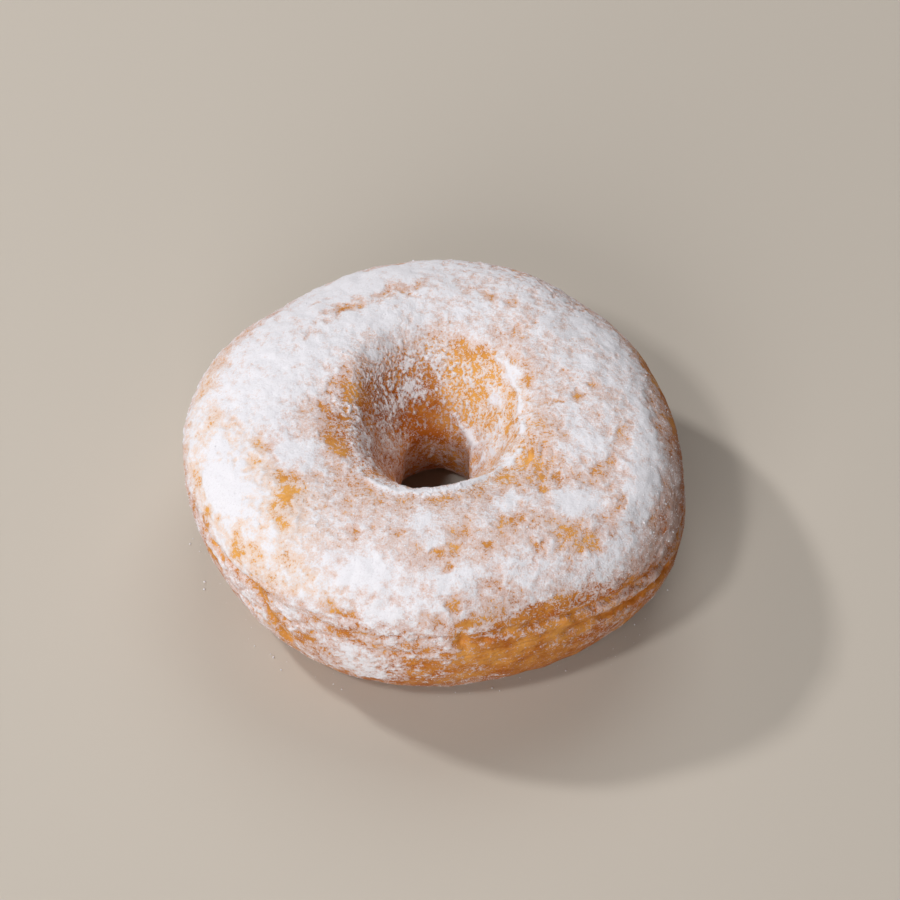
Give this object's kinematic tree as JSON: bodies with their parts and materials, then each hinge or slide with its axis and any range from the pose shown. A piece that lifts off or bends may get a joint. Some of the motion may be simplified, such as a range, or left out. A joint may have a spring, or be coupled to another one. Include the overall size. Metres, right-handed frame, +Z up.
{
  "type": "sugar doughnut",
  "caption": "Ring doughnut of fried yeast dough under powdered sugar, with a crease round its waist, lying on its flat underside.",
  "frame": {"origin": "middle of the ring's underside, on the surface that it lies on", "axes": "+Z up through the hole, -Y towards the viewer, +X to the viewer's right"},
  "size_m": [0.0966, 0.0944, 0.0363],
  "materials": {
    "sugared_crust": "golden fried crust under patches of powdered sugar, matt"
  },
  "bodies": {
    "root": {"doughnut": "sugared_crust"}
  },
  "joints": []
}
